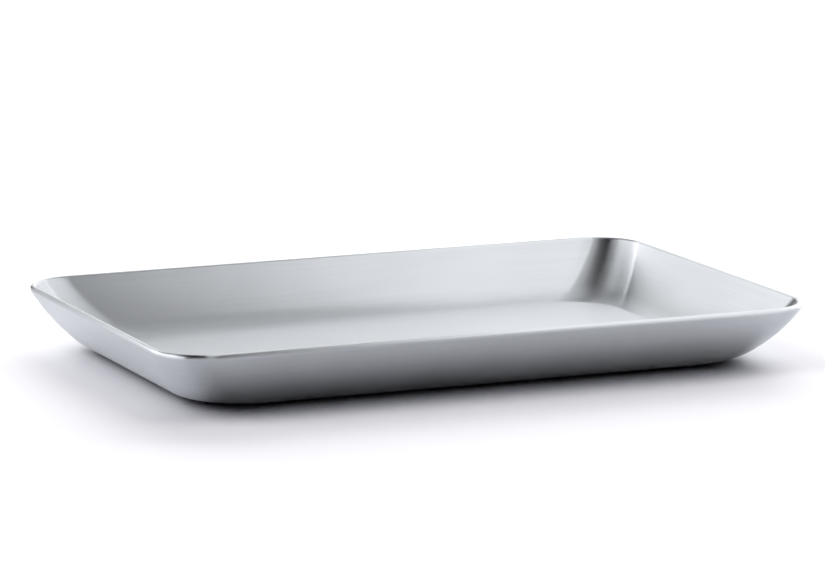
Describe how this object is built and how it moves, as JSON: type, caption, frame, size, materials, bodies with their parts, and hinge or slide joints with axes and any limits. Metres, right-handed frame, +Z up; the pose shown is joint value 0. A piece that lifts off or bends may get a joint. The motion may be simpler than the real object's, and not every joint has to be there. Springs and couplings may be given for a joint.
{
  "type": "shallow serving tray",
  "caption": "Shallow rectangular tray pressed from satin stainless steel sheet, with curved walls, a rounded rim and thin anti-slip pads below.",
  "frame": {"origin": "centre of the tray's footprint, on the surface that its pads stand on", "axes": "+X along the tray's length, +Y across its width from front to rear, +Z up out of the open top"},
  "size_m": [0.2, 0.133, 0.0186],
  "materials": {
    "satin_steel": "satin, fine brushing along the length",
    "pad_silicone": "matte moulded silicone"
  },
  "bodies": {
    "root": {"tray_shell": "satin_steel", "front_left_pad": "pad_silicone", "front_right_pad": "pad_silicone", "rear_left_pad": "pad_silicone", "rear_right_pad": "pad_silicone"}
  },
  "joints": []
}
